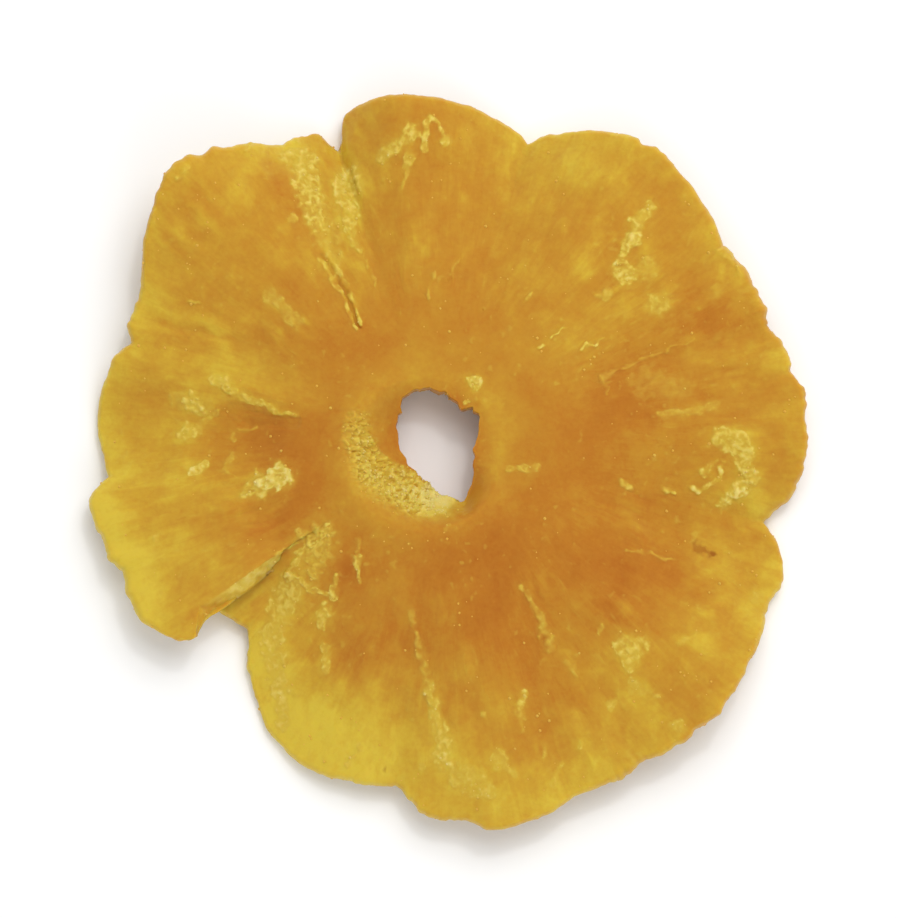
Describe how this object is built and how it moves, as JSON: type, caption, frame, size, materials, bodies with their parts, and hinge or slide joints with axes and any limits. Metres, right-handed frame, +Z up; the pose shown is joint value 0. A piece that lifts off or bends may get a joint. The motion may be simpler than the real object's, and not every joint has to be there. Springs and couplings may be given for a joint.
{
  "type": "dried pineapple ring",
  "caption": "Dried pineapple ring with a raised collar round its core hole, a thin scalloped and curled rim and a radial tear with one lip lying over the other.",
  "frame": {"origin": "on the surface the ring lies on, under the middle of its bounding box", "axes": "+Z up through the core hole, out of the better side; +Y away from the viewer, towards the narrow slit in the rim; +X to the viewer's right; the tear is on the side of -X and -Y"},
  "size_m": [0.0786, 0.0806, 0.0106],
  "materials": {
    "dried_flesh": "satin, leathery and translucent, mustard yellow at the thin rim and orange where thick"
  },
  "bodies": {
    "root": {"pineapple_ring": "dried_flesh"}
  },
  "joints": []
}
